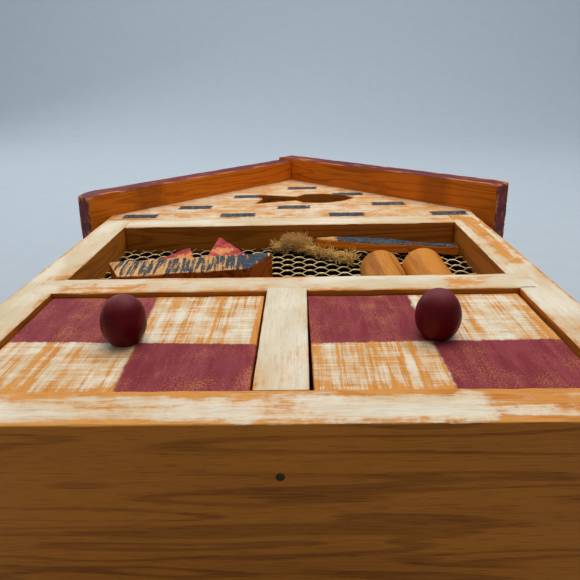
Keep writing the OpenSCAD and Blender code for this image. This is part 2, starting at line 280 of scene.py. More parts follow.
def rgb(r, g, b):
    """An sRGB colour from 0 to 255 as a linear colour."""
    shares = [v / 255 for v in (r, g, b)]
    return tuple(v / 12.92 if v <= 0.04 else ((v + 0.055) / 1.055) ** 2.4 for v in shares) + (1.0,)


class Value:
    """A number in a node tree, so that node maths reads as a formula."""

    def __init__(self, graph, socket):
        self.graph, self.socket = graph, socket

    def __add__(self, other):
        return self.graph.math("ADD", self, other)

    def __sub__(self, other):
        return self.graph.math("SUBTRACT", self, other)

    def __mul__(self, other):
        return self.graph.math("MULTIPLY", self, other)

    def __rsub__(self, other):
        return self.graph.math("SUBTRACT", other, self)

    __radd__ = __add__
    __rmul__ = __mul__


class Graph:
    """A Principled material whose patterns live in the millimetres of a frame."""

    def __init__(self, name, place=CABINET, grain=0, seed=0.0, roughness=0.5, **sockets):
        self.material = bpy.data.materials.new(name)
        self.material.use_nodes = True
        self.tree = self.material.node_tree
        self.shader = self.tree.nodes["Principled BSDF"]
        self.grain, self.seed = grain, seed
        self.shader.inputs["Roughness"].default_value = roughness
        self.shader.inputs["Specular IOR Level"].default_value = 0.14
        for socket, value in sockets.items():
            self.shader.inputs[socket.replace("_", " ")].default_value = value
        mapping = self.node("ShaderNodeMapping", vector_type="TEXTURE")
        location, turn, scale = place.decompose()
        mapping.inputs["Location"].default_value = location
        mapping.inputs["Rotation"].default_value = turn.to_euler()
        mapping.inputs["Scale"].default_value = scale
        self.tree.links.new(self.node("ShaderNodeTexCoord").outputs["Object"], mapping.inputs["Vector"])
        self.place = mapping.outputs["Vector"]
        apart = self.node("ShaderNodeSeparateXYZ")
        self.tree.links.new(self.place, apart.inputs[0])
        self.x, self.y, self.z = (Value(self, s) for s in apart.outputs)
        self.axes = place.to_3x3()

    def node(self, kind, **settings):
        made = self.tree.nodes.new(kind)
        for key, value in settings.items():
            setattr(made, key, value)
        return made

    def plug(self, socket, value):
        if isinstance(value, Value):
            value = value.socket
        if isinstance(value, bpy.types.NodeSocket):
            self.tree.links.new(value, socket)
        else:
            socket.default_value = value

    def math(self, operation, a, b=0.0):
        made = self.node("ShaderNodeMath", operation=operation)
        self.plug(made.inputs[0], a)
        self.plug(made.inputs[1], b)
        return Value(self, made.outputs[0])

    def step(self, value, low, high):
        """0 up to low, 1 from high on, and smooth between them."""
        made = self.node("ShaderNodeMapRange", interpolation_type="SMOOTHSTEP")
        self.plug(made.inputs["Value"], value)
        made.inputs["From Min"].default_value = low
        made.inputs["From Max"].default_value = high
        return Value(self, made.outputs["Result"])

    def noise(self, across, along=None, detail=3.0, rough=0.5, warp=0.0, seed=0.0):
        """Noise with features of about 1 / across mm, stretched along the grain if along is given."""
        scale = [across] * 3
        if along is not None:
            scale[self.grain] = along
        mapping = self.node("ShaderNodeMapping", vector_type="POINT")
        self.tree.links.new(self.place, mapping.inputs["Vector"])
        mapping.inputs["Scale"].default_value = scale
        shift = self.seed + seed
        mapping.inputs["Location"].default_value = (shift * 7.3, shift * 3.1 + 11, shift * 5.7)
        made = self.node("ShaderNodeTexNoise")
        self.tree.links.new(mapping.outputs["Vector"], made.inputs["Vector"])
        for key, value in (("Scale", 1.0), ("Detail", detail), ("Roughness", rough), ("Distortion", warp)):
            made.inputs[key].default_value = value
        return Value(self, made.outputs[0])

    def facing(self, x, y, z):
        """How far the surface faces a direction of the frame, from -1 to 1."""
        made = self.node("ShaderNodeVectorMath", operation="DOT_PRODUCT")
        self.tree.links.new(self.node("ShaderNodeNewGeometry").outputs["Normal"], made.inputs[0])
        made.inputs[1].default_value = (self.axes @ Vector((x, y, z))).normalized()
        return Value(self, made.outputs["Value"])

    def wear(self):
        made = self.node("ShaderNodeAttribute", attribute_name="wear")
        return Value(self, made.outputs["Fac"])

    def box(self, x0, x1, y0, y1, soft=1.0, rag=0.0):
        """1 inside a rectangle of the frame, 0 outside it; rag is how uneven its edge is."""
        out_x = self.math("ABSOLUTE", self.x - (x0 + x1) / 2) - (x1 - x0) / 2
        out_y = self.math("ABSOLUTE", self.y - (y0 + y1) / 2) - (y1 - y0) / 2
        out = self.math("MAXIMUM", out_x, out_y)
        if rag:
            out = out + (self.noise(0.35, detail=4, rough=0.65, seed=x0 * 0.13) - 0.5) * (4 * rag)
        return 1 - self.step(out, -soft, soft)

    def mix(self, share, a, b, kind="MIX"):
        made = self.node("ShaderNodeMix", data_type="RGBA", blend_type=kind)
        self.plug(made.inputs[0], share)
        self.plug(made.inputs[6], a)
        self.plug(made.inputs[7], b)
        return made.outputs[2]

    def wood(self, light, dark, rings=9.0, contrast=0.6):
        """Natural wood: (its colour, the height of its grain)."""
        growth = self.noise(0.055, 0.0045, detail=2, rough=0.45, warp=0.3, seed=1)
        wave = self.math("SINE", growth * (2 * pi * rings))
        line = self.step(wave, 0.2, 1.0)
        fibre = self.noise(1.3, 0.035, detail=4, rough=0.65, seed=2)
        pores = self.step(self.noise(2.2, 0.09, detail=2, seed=3), 0.56, 0.72)
        tone = self.noise(0.045, 0.008, detail=3, seed=4)
        shade = line * (0.55 * contrast) + (fibre - 0.35) * contrast + (tone - 0.5) * 0.9 + pores * 0.25
        colour = self.mix(self.step(shade, -0.15, 0.95), light, dark)
        return colour, fibre * 0.6 - line * 0.25 - pores * 0.5

    def done(self, colour, height, depth, roughness=None):
        """Plugs in the colour and a bump whose full height is depth mm."""
        self.plug(self.shader.inputs["Base Color"], colour)
        if roughness is not None:
            self.plug(self.shader.inputs["Roughness"], roughness)
        bump = self.node("ShaderNodeBump")
        bump.inputs["Strength"].default_value = 1.0
        bump.inputs["Distance"].default_value = depth * MM
        self.plug(bump.inputs["Height"], height)
        self.tree.links.new(bump.outputs["Normal"], self.shader.inputs["Normal"])
        return self.material


HONEY = rgb(196, 118, 36)
HONEY_DARK = rgb(120, 60, 12)
ORANGE = rgb(224, 154, 72)
ORANGE_DARK = rgb(192, 108, 34)
CREAM = rgb(236, 226, 204)
CREAM_DARK = rgb(220, 200, 164)
BURGUNDY = rgb(132, 46, 54)
SLATE = rgb(78, 90, 100)
SLATE_DARK = rgb(40, 46, 54)


def chalk(g, base, wear_level, zones, grain_wear=0.9):
    """Cream chalk paint brushed over wood and rubbed through: (colour, share of bare wood)."""
    streak = g.noise(0.42, 0.03, detail=5, rough=0.62, seed=5)
    blot = g.noise(0.09, detail=5, rough=0.62, seed=6)
    fleck = g.noise(1.1, 0.2, detail=3, rough=0.6, seed=7)
    rubbed = (streak - 0.5) * grain_wear + (blot - 0.5) * 0.9 + (fleck - 0.5) * 0.35 + wear_level
    for zone, strength in zones:
        rubbed = rubbed + zone * strength
    rubbed = rubbed + g.wear() * 0.2
    bare = g.step(rubbed, 0.12, 0.34)
    thin = g.step(rubbed, -0.16, 0.26) * 0.42
    paint = g.mix(g.step(g.noise(0.05, 0.02, detail=4, seed=8), 0.36, 0.62), CREAM, CREAM_DARK)
    paint = g.mix(g.step(g.noise(0.8, 0.08, detail=4, rough=0.7, seed=9), 0.55, 0.8) * 0.35, paint, ORANGE)
    paint = g.mix(thin, paint, ORANGE)
    scratch = g.step(g.noise(1.1, 0.22, detail=3, rough=0.7, seed=10), 0.68, 0.76) * 0.55
    return g.mix(scratch, g.mix(bare, paint, base), rgb(132, 84, 44)), bare


def recess_box(g):
    """1 inside the recess seen from the front, 0 outside it."""
    return g.box(BOARD - 1, RIGHT_X + 1, RECESS_Y - 1, TOP_Y + 1, 0.5)


def board_material(name, grain, seed, wear_level, zones, cracks=()):
    """A cabinet board: natural wood whose front face is cream. zones of more or less wear are
    (x0, x1, y0, y1, soft, strength), and cracks in the paint are (x0, x1, y0, y1)."""
    g = Graph(name, grain=grain, seed=seed, roughness=0.62)
    wood, grain_height = g.wood(HONEY, HONEY_DARK)
    bright, _ = g.wood(ORANGE, ORANGE_DARK, contrast=0.5)
    masks = [(g.box(*z[:5], rag=z[4] * 0.6), z[5]) for z in zones]
    front, bare = chalk(g, bright, wear_level, masks)
    upward = g.facing(0, 0, 1) + (g.noise(0.7, 0.15, detail=3, seed=12) - 0.5) * 0.7
    painted = g.step(upward, 0.42, 0.62)
    colour = g.mix(painted, wood, front)
    for x0, x1, y0, y1 in cracks:
        colour = g.mix(g.box(x0, x1, y0, y1, 0.35, rag=0.3) * painted * 0.85, colour, rgb(66, 36, 14))
    # painted shade: inside the recess the walls go near black below the mesh, standing in for the deep
    # cavity's shade
    painted_shade_below_mesh = g.step(MESH_Z - 1.0 - g.z, 0.0, 2.0) * recess_box(g)
    colour = g.mix(painted_shade_below_mesh, colour, rgb(26, 16, 10))
    rough = 0.5 + painted * (1 - bare) * 0.22
    return g.done(colour, grain_height + (1 - bare) * painted * 0.5, 0.22, rough)


def bare_wood_material(name, grain, seed, light=HONEY, dark=HONEY_DARK, rings=9.0, shade_behind_mesh=False):
    """Unpainted wood; its last argument paints shade, near black, on what lies behind the mesh."""
    g = Graph(name, grain=grain, seed=seed, roughness=0.55)
    colour, height = g.wood(light, dark, rings)
    if shade_behind_mesh:
        # painted shade: the wood inside the recess behind the mesh goes near black, standing in for the deep
        # cavity's shade
        inside = recess_box(g) * g.step(g.z, 3.0, 5.5)
        colour = g.mix(inside, colour, rgb(22, 15, 10))
    return g.done(colour, height, 0.2)


def panel_material(name, seed, left, right, mid_x, mid_y):
    """A drawer front in 2 by 2 checks. mid_x is where they meet at its foot and top, mid_y at its ends."""
    g = Graph(name, grain=1, seed=seed, roughness=0.62)
    wood, grain_height = g.wood(HONEY, HONEY_DARK)
    bright, _ = g.wood(ORANGE, rgb(196, 118, 46), contrast=0.5)
    ragged = (g.noise(0.35, 0.2, detail=4, rough=0.6, seed=20) - 0.5) * 3.2
    foot, top = mm_box("left_drawer_front")[0].y, mm_box("left_drawer_front")[1].y
    up = (g.y - foot) * (1 / (top - foot))
    over = (g.x - left) * (1 / (right - left))
    to_right = g.step(g.x - (up * (mid_x[1] - mid_x[0]) + mid_x[0]) + ragged, -0.9, 0.9)
    to_top = g.step(g.y - (over * (mid_y[1] - mid_y[0]) + mid_y[0]) + ragged, -0.7, 0.7)
    red = 1 - g.math("ABSOLUTE", to_right - (1 - to_top))
    # cream: long streaks up the front, crossed by finer brush marks
    streak = g.noise(0.3, 0.012, detail=4, rough=0.6, seed=21)
    brush = g.noise(0.1, detail=4, rough=0.6, seed=22)
    fine = g.noise(1.1, 0.025, detail=3, rough=0.6, seed=28)
    g.grain = 0
    lines = g.noise(0.75, 0.035, detail=4, rough=0.65, seed=24)
    g.grain = 1
    rubbed = (streak - 0.5) * 1.6 + (lines - 0.5) * 0.75 + (brush - 0.5) * 0.7 + (fine - 0.5) * 0.7
    rubbed = rubbed + g.wear() * 0.25 + g.box(left, right, foot - 9, foot + 7, 6.0, 3.0) * 0.22
    bare = g.step(rubbed, 0.03, 0.17)
    paint = g.mix(g.step(brush + (lines - 0.5) * 0.6, 0.35, 0.65), CREAM, CREAM_DARK)
    paint = g.mix(g.step(rubbed, -0.3, 0.06) * 0.5, paint, ORANGE)
    cream = g.mix(bare, paint, bright)
    # burgundy: thin, with fine specks of wood showing through
    speck = g.noise(2.2, 1.0, detail=3, rough=0.7, seed=25)
    patch = g.noise(0.07, detail=3, seed=26)
    near = g.step(speck + (patch - 0.5) * 0.5 + (streak - 0.5) * 0.3 + g.wear() * 0.06, 0.54, 0.7)
    shade = g.mix(g.step(g.noise(0.25, 0.05, detail=4, seed=27), 0.35, 0.7), BURGUNDY, rgb(150, 62, 70))
    burgundy = g.mix(near * 0.6, shade, rgb(216, 140, 84))
    front = g.mix(red, cream, burgundy)
    painted = g.step(g.facing(0, 0, 1) + (g.noise(0.7, 0.15, detail=3, seed=12) - 0.5) * 0.7, 0.4, 0.6)
    colour = g.mix(painted, wood, front)
    return g.done(colour, grain_height + (1 - bare) * 0.4 + lines * 0.3, 0.22, 0.5 + painted * 0.2)


# The middles of the gable's dark blocks, in staggered rows.
STAMPS = [
    (22, 256), (93, 255), (171, 252), (243, 251), (58, 281), (133, 277), (205, 283.5), (96, 317), (177, 320),
    (139.5, 348)
]


def gable_material():
    """Worn cream paint with dark blocks stamped on it."""
    half_w, half_h = 12.5, 5.5
    g = Graph("gable_paint", grain=0, seed=31, roughness=0.65)
    wood, grain_height = g.wood(HONEY, HONEY_DARK)
    bright, _ = g.wood(ORANGE, ORANGE_DARK, contrast=0.5)
    front, bare = chalk(g, bright, 0.17, [(g.box(-5, 30, 240, 249, 2.0, 1.0), 0.5)], grain_wear=1.1)
    stamps = None
    for x, y in STAMPS:
        spot = g.box(x - half_w, x + half_w, y - half_h, y + half_h, 0.9, 0.9)
        stamps = spot if stamps is None else g.math("MAXIMUM", stamps, spot)
    broken = g.step(g.noise(0.9, 0.35, detail=4, rough=0.7, seed=33), 0.3, 0.44)
    blue = g.mix(g.step(g.noise(0.6, detail=3, seed=34), 0.4, 0.65), SLATE_DARK, SLATE)
    front = g.mix(stamps * broken, front, blue)
    painted = g.step(g.facing(0, 0, 1), 0.42, 0.62)
    return g.done(g.mix(painted, wood, front), grain_height + (1 - bare) * 0.4, 0.22)


def roof_material(name, place, outward, length, seed):
    """A roof board: bare inside, burgundy on its outside, its eave end and its front edge."""
    g = Graph(name, place=place, grain=0, seed=seed, roughness=0.5)
    wood, grain_height = g.wood(rgb(226, 124, 22), rgb(138, 62, 6), rings=11, contrast=0.55)
    stain = g.box(length - 62, length - 38, -30, 30, 6.0, 3.0) * g.step(g.z, FRONT - 30, FRONT + 5)
    wood = g.mix(stain * 0.4, wood, rgb(70, 32, 10))
    end_or_front = g.math("MAXIMUM", g.facing(1, 0, 0), g.facing(0, 0, 1))
    side = g.math("MAXIMUM", g.facing(0, outward, 0), end_or_front)
    painted = g.step(side + (g.noise(0.5, 0.1, detail=4, seed=3) - 0.5) * 0.5, 0.5, 0.7)
    rub = g.noise(0.16, 0.035, detail=5, rough=0.65, seed=5) + g.wear() * 0.12
    worn = g.step(rub, 0.56, 0.68)
    tone = g.step(g.noise(0.12, 0.03, detail=4, seed=6), 0.35, 0.68)
    paint = g.mix(worn, g.mix(tone, rgb(92, 26, 24), rgb(130, 42, 44)), rgb(206, 120, 66))
    return g.done(g.mix(painted, wood, paint), grain_height, 0.22, 0.52)


def slate_material(name, place, grain, seed, stripes, edge_wood, level, snout=None):
    """Blue-grey paint on the upper face, worn through to pale wood along the grain and at the snout.
    edge_wood is the light and dark colour of the sawn edges."""
    g = Graph(name, place=place, grain=grain, seed=seed, roughness=0.6)
    wood, grain_height = g.wood(*edge_wood, contrast=0.7)
    bright, _ = g.wood(rgb(232, 176, 104), rgb(196, 118, 50), contrast=0.5)
    rubbed = (g.noise(0.5, 0.035, detail=3, rough=0.6, seed=3) - 0.5) * stripes
    rubbed = rubbed + (g.noise(1.1, 0.8, detail=3, rough=0.7, seed=4) - 0.5) * 0.9 + g.wear() * 0.16
    rubbed = rubbed - g.step(g.x, 48, 72) * 0.3
    if snout is not None:
        rubbed = rubbed + (1 - g.step(g.x, snout - 4, snout + 6)) * 0.7
    bare = g.step(rubbed, level, level + 0.16)
    blue = g.mix(g.step(g.noise(0.4, detail=4, seed=5), 0.35, 0.7), SLATE_DARK, SLATE)
    painted = g.step(g.facing(0, 0, 1), 0.35, 0.6)
    return g.done(g.mix(painted, wood, g.mix(bare, blue, bright)), grain_height + (1 - bare) * 0.5, 0.25)


def away_from(g, x, y):
    """The distance from a point of the frame, seen along Z."""
    dx, dy = g.x - x, g.y - y
    return g.math("SQRT", dx * dx + dy * dy)


def sail_material(name, place, seed, middle):
    """Red sail, rubbed to bare wood round its middle."""
    g = Graph(name, place=place, grain=1, seed=seed, roughness=0.6)
    bright, grain_height = g.wood(rgb(232, 150, 84), rgb(200, 104, 52), contrast=0.5)
    rubbed = (g.noise(0.3, 0.12, detail=4, rough=0.65, seed=3) - 0.5) * 1.5 + 0.4
    rubbed = rubbed - away_from(g, *middle) * 0.045
    bare = g.step(rubbed, 0.0, 0.25) * g.step(g.facing(0, 0, 1), 0.3, 0.7)
    red = g.mix(g.step(g.noise(0.2, detail=3, seed=5), 0.35, 0.7), rgb(150, 38, 44), rgb(196, 76, 70))
    return g.done(g.mix(bare, red, bright), grain_height + (1 - bare) * 0.5, 0.25)


def knob_material(name, seed):
    g = Graph(name, grain=2, seed=seed, roughness=0.42)
    tone = g.noise(0.12, detail=4, rough=0.6, seed=1)
    dust = g.noise(0.9, detail=3, rough=0.7, seed=2)
    colour = g.mix(g.step(tone, 0.35, 0.7), rgb(98, 8, 18), rgb(80, 4, 12))
    # lighter on the upward side: partly dust, partly a painted highlight of the light from above
    dust_and_top_light = g.step(g.facing(0, 0, 1), 0.4, 1.0) * (0.3 + dust * 0.25)
    colour = g.mix(dust_and_top_light, colour, rgb(150, 78, 84))
    return g.done(colour, tone + dust * 0.15, 0.1, 0.38 + dust_and_top_light * 0.3)


def steel_material():
    g = Graph("nail_steel", seed=3, roughness=0.45, Metallic=0.9)
    rust = g.step(g.noise(0.9, detail=4, rough=0.7), 0.42, 0.62)
    return g.done(g.mix(rust, rgb(70, 62, 56), rgb(58, 30, 16)), rust, 0.05, 0.4 + rust * 0.35)


def mesh_material():
    g = Graph("mesh_brass", seed=8, roughness=0.5, Metallic=0.35)
    age = g.noise(0.6, detail=4, rough=0.65)
    # painted light and shade: strands are pale where they face up toward the lamp and at their raised parts,
    # and dark brown on their sides and low parts
    top = g.step(g.facing(0, 0.2, 1), 0.0, 0.8)
    pale = g.mix(g.step(age, 0.4, 0.65), rgb(222, 198, 146), rgb(176, 142, 88))
    low = g.step(g.z, MESH_Z - 1.3, MESH_Z - 0.2)
    return g.done(g.mix(top * (0.35 + low * 0.65), rgb(84, 60, 30), pale), age, 0.08, 0.45 + age * 0.2)


def jute_material(name, seed, light, dark):
    g = Graph(name, seed=seed, roughness=0.9)
    strand = g.noise(1.2, detail=4, rough=0.65)
    fine = g.noise(4.0, detail=2, seed=2)
    return g.done(g.mix(g.step(strand + fine * 0.3, 0.45, 0.85), dark, light), fine, 0.15)


def dress(obj, material):
    """Gives an object one material."""
    obj.data.materials.clear()
    obj.data.materials.append(material)


# ---- jute: the cord and what frays from it ----

JUTE_D = 6
PLY_R = 1.45
FUZZ_FIBRES = 700
TUFT_FIBRES = 620
# The strand's route, from the recess's lower right corner.
ROUTE_XY = [
    (-121, 90), (-114, 91.5), (-107, 91), (-101, 87.5), (-95, 82.5), (-89, 77.5), (-83, 72), (-77, 67),
    (-71, 63.5)
]
ROUTE = [Vector((RIGHT_X + x, RECESS_Y + y, MESH_Z + JUTE_D / 2)) for x, y in ROUTE_XY]


def smooth_path(points, per):
    """A Catmull-Rom curve through the points, with per steps between each two."""
    made = []
    for i in range(len(points) - 1):
        a, b = points[max(i - 1, 0)], points[i]
        c, d = points[i + 1], points[min(i + 2, len(points) - 1)]
        for k in range(per):
            t = k / per
            made.append(0.5 * (2 * b + (c - a) * t + (2 * a - 5 * b + 4 * c - d) * t ** 2
                               + (3 * b - a - 3 * c + d) * t ** 3))
    return made + [points[-1].copy()]


def path_length(points):
    return sum((b - a).length for a, b in zip(points, points[1:]))


def fibres(name, lines, radius):
    """Loose fibres: one curve object with a spline for each line of points, thinner at both ends."""
    data = bpy.data.curves.new(name, "CURVE")
    data.dimensions = "3D"
    data.bevel_depth = 1.0  # a point's radius is the fibre's, because Blender adds it to the curve's box
    data.bevel_resolution = 0
    data.use_fill_caps = True
    for line in lines:
        spline = data.splines.new("POLY")
        spline.points.add(len(line) - 1)
        for i, (point, p) in enumerate(zip(spline.points, line)):
            point.co = (*(CABINET @ p), 1)
            point.radius = radius * MM * (1.0 if 0 < i < len(line) - 1 else 0.5)
    return add_object(name, data)


def wander(rng, start, heading, length, count, stray):
    """A fibre's points from start, its heading straying at each step."""
    line, p, d = [start.copy()], start.copy(), heading.normalized()
    for _ in range(count):
        d = (d + Vector((rng.uniform(-1, 1), rng.uniform(-1, 1), rng.uniform(-1, 1))) * stray).normalized()
        p = p + d * (length / count)
        line.append(p.copy())
    return line


def make_jute():
    """The strand's three twisted plies, the fuzz along it and the tuft that its left end frays into."""
    rng = random.Random(11)
    path = smooth_path(ROUTE, 10)
    bm = bmesh.new()
    plies, pitch = 3, 15.0
    total = path_length(path)
    for ply in range(plies):
        centre, radii, run = [], [], 0.0
        for i, p in enumerate(path):
            d = (path[min(i + 1, len(path) - 1)] - path[max(i - 1, 0)]).normalized()
            side, up = Vector((d.y, -d.x, 0)), Vector((0, 0, 1))
            angle = 2 * pi * (run / pitch + ply / plies)
            share = run / total
            loose = 1.25 + 0.45 * max(0.0, 1 - share * 6) + 0.5 * max(0.0, share * 5 - 4)
            lump = 1 + 0.22 * roughly(p, 3.0, ply + 1)
            centre.append(p + (side * cos(angle) + up * sin(angle)) * loose)
            radii.append(PLY_R * lump)
            if i + 1 < len(path):
                run += (path[i + 1] - p).length
        tube(bm, centre, radii, 9)
    strand = finish_mesh("jute_rope", bm, CABINET)
    dress(strand, jute_material("jute_ply", 4, rgb(244, 204, 120), rgb(150, 96, 36)))
    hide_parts("jute_strand")

    fuzz = []
    for _ in range(FUZZ_FIBRES):
        i = rng.randrange(1, len(path) - 1)
        d = (path[i + 1] - path[i - 1]).normalized()
        side, up = Vector((d.y, -d.x, 0)), Vector((0, 0, 1))
        angle = rng.uniform(-0.5, pi + 0.5)
        out = side * cos(angle) + up * sin(angle)
        start = path[i] + out * rng.uniform(1.2, 2.7)
        heading = d * rng.choice((-1, 1)) * rng.uniform(0.4, 1.2) + out * rng.uniform(0.0, 0.8)
        line = wander(rng, start, heading, rng.uniform(2.5, 7.5), 5, 0.42)
        fuzz.append([Vector((p.x, p.y, max(p.z, MESH_Z + 0.3))) for p in line])
    loose = fibres("jute_fuzz", fuzz, 0.17)
    dress(loose, jute_material("jute_fibre", 6, rgb(255, 226, 146), rgb(224, 166, 80)))

    clump = []
    foot = Vector((RIGHT_X - 106, RECESS_Y + 91, MESH_Z + 2.5))
    for _ in range(TUFT_FIBRES):
        turn, away = rng.uniform(0, 2 * pi), sqrt(rng.uniform(0, 1))
        start = foot + Vector((8.5 * away * cos(turn), 4.0 * away * sin(turn), rng.uniform(0, 2.5)))
        lean = Vector((0.35 * cos(turn) * away, 0.25 + 0.3 * sin(turn) * away, rng.uniform(0.5, 1.2)))
        reach = rng.uniform(4, 13.5) * (1.1 - 0.55 * away)
        line = wander(rng, start, lean, reach, 6, 0.5)
        clump.append([Vector((p.x, min(p.y, TOP_Y - 0.6), min(p.z, FRONT - 1))) for p in line])
    tuft = fibres("jute_tuft_fibres", clump, 0.14)
    dress(tuft, jute_material("jute_tuft_fibre", 9, rgb(250, 214, 146), rgb(216, 162, 92)))
    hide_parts("jute_tuft")

    round(path_length(path) * MM, 4)
    [tuple(CABINET @ p) for p in path]


make_jute()


# ---- cabinet boards ----

JOINT = 0.16  # share of the bevel where two boards meet
PROUD = 0.12  # nail heads stand this far out of the outer faces


def make_board(name, outline, low, material, **more):
    """A cabinet board whose front is flush with the others'."""
    made = worn_prism(name, [outline], low, FRONT, edge=0.75, **more)
    dress(made, material)
    return made


def make_cabinet():
    back = mm_box("left_side")[0].z
    groove = mm_box("shelf_board")[0].x
    notch = mm_box("center_divider")[1].y
    divider_r = DIVIDER_X + BOARD
    left = make_board(
        "left_stile",
        [(PROUD, PROUD), (BOARD, 0, 1), (BOARD, SHELF_Y, JOINT), (groove, SHELF_Y, JOINT),
         (groove, RECESS_Y, JOINT), (BOARD, RECESS_Y, 1), (BOARD, CABINET_H, JOINT), (PROUD, CABINET_H, 1)],
        back,
        board_material("left_stile_wood", 1, 1.0, -0.17, [
            (13, 19, 120, 150, 3, 0.35), (6, 20, 118, 132, 3, 0.2), (-2, 2, 0, 250, 1, 0.18),
            (12, 20, 60, 106, 3, 0.16)]), seed=1.3)
    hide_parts("left_side")
    right = make_board(
        "right_stile",
        [(RIGHT_X, 0, 1), (WIDTH - PROUD, PROUD, 1), (WIDTH - PROUD, CABINET_H, JOINT),
         (RIGHT_X, CABINET_H, 1), (RIGHT_X, RECESS_Y, JOINT), (WIDTH - groove, RECESS_Y, JOINT),
         (WIDTH - groove, SHELF_Y, JOINT), (RIGHT_X, SHELF_Y, 1)],
        back,
        board_material("right_stile_wood", 1, 2.0, -0.1, [
            (246, 256, 140, 240, 3, 0.42), (241, 251, 232, 246, 3, 0.3), (240, 250, 112, 124, 3, 0.2),
            (243, 260, 40, 70, 5, 0.2), (258, 262, 0, 250, 1, 0.2)]), seed=2.7)
    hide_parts("right_side")
    bottom = make_board(
        "bottom_rail",
        [(BOARD, PROUD, 1), (RIGHT_X, PROUD, JOINT), (RIGHT_X, BOARD, 1), (BOARD, BOARD, JOINT)],
        back,
        board_material("bottom_rail_wood", 0, 3.0, 0.2, [
            (19, 122, 14, 20, 2, 0.12), (150, 190, 15, 20, 2, 0.15), (200, 241, 8, 20, 5, 0.16),
            (40, 80, 3, 12, 8, -0.15), (96, 122, 2, 12, 8, -0.22), (140, 196, 2, 13, 6, -0.32),
            (200, 241, 0, 6, 4, 0.16), (60, 96, 0, 4, 4, 0.15)]), seed=3.1)
    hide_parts("bottom_board")
    shelf = make_board(
        "shelf",
        [(groove, SHELF_Y, JOINT), (BOARD, SHELF_Y, 1), (DIVIDER_X, SHELF_Y, JOINT),
         (DIVIDER_X, notch, JOINT), (divider_r, notch, JOINT), (divider_r, SHELF_Y, 1),
         (RIGHT_X, SHELF_Y, JOINT), (WIDTH - groove, SHELF_Y, JOINT), (WIDTH - groove, RECESS_Y, JOINT),
         (RIGHT_X, RECESS_Y, 1), (BOARD, RECESS_Y, JOINT), (groove, RECESS_Y, JOINT)],
        back,
        board_material("shelf_wood", 0, 4.0, -0.06, [
            (19, 62, 106, 118, 4, 0.34), (70, 122, 106, 113, 3, 0.22), (60, 140, 118, 127, 3, 0.14),
            (208, 228, 110, 120, 4, 0.4), (140, 200, 106, 112, 3, 0.1), (150, 205, 112, 125, 4, -0.15)],
            [(242, 248.5, 107, 108), (13, 18.5, 125, 126)]),
        seed=4.4, band=2.0)
    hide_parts("shelf_board")
    divider = make_board(
        "divider",
        [(DIVIDER_X, BOARD, JOINT), (divider_r, BOARD, 1), (divider_r, SHELF_Y, JOINT),
         (divider_r, notch, JOINT), (DIVIDER_X, notch, JOINT), (DIVIDER_X, SHELF_Y, 1)],
        back,
        board_material("divider_wood", 1, 5.0, -0.3, [
            (120, 140, 19, 52, 5, 0.26), (120, 126, 60, 100, 2, 0.12)]),
        seed=5.2, band=2.0)
    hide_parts("center_divider")
    top = make_board(
        "top_rail",
        [(BOARD, TOP_Y, 1), (RIGHT_X, TOP_Y, JOINT), (RIGHT_X, CABINET_H, JOINT), (BOARD, CABINET_H, JOINT)],
        back,
        board_material("top_rail_wood", 0, 6.0, -0.12, [
            (226, 242, 226, 246, 4, 0.3), (150, 226, 240, 246, 2, 0.2)]),
        seed=6.6)
    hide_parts("top_board")


def fish_outline(length, height, tail_h, body_share):
    """A fish seen from its side, counterclockwise, its nose at +X and its middle at 0, 0. Its body is two
    arcs that meet at the nose, and its tail is notched."""
    steps = 12
    body = length * body_share
    r = (body * body / 4 + height * height / 4) / height
    middle, half = (length - body) / 2, asin(body / 2 / r)
    nose_side = [-half + 2 * half * k / steps for k in range(steps + 1)]
    lower = [(middle + r * sin(a), r - height / 2 - r * cos(a)) for a in nose_side]
    join = length / 2 - body * 0.8
    lower = [p for p in lower if p[0] > join + 1]
    upper = [(x, -y) for x, y in lower[::-1][1:]]
    tail = [(join, height * 0.2), (-length / 2, tail_h / 2), (-length * 0.44, 0), (-length / 2, -tail_h / 2),
            (join, -height * 0.2)]
    return lower + upper + tail


def make_gable():
    """The gable board with its fish-shaped hole."""
    hole_l, hole_h, hole_x, hole_y = 78, 33, WIDTH / 2 + 12, CABINET_H + 62
    hole = [(hole_x + x, hole_y + y) for x, y in fish_outline(hole_l, hole_h, hole_h, 0.74)]
    outline = [(0, CABINET_H, JOINT), (WIDTH, CABINET_H, 1), (WIDTH, SHOULDER_Y, JOINT),
               (WIDTH / 2, RIDGE_Y, JOINT), (0, SHOULDER_Y, 1)]
    gable = worn_prism("gable", [outline, hole[::-1]], mm_box("gable_board")[0].z, FRONT, seed=7.7, edge=0.6,
                       band=2.0, radius=0.5)
    dress(gable, gable_material())
    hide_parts("gable_board")


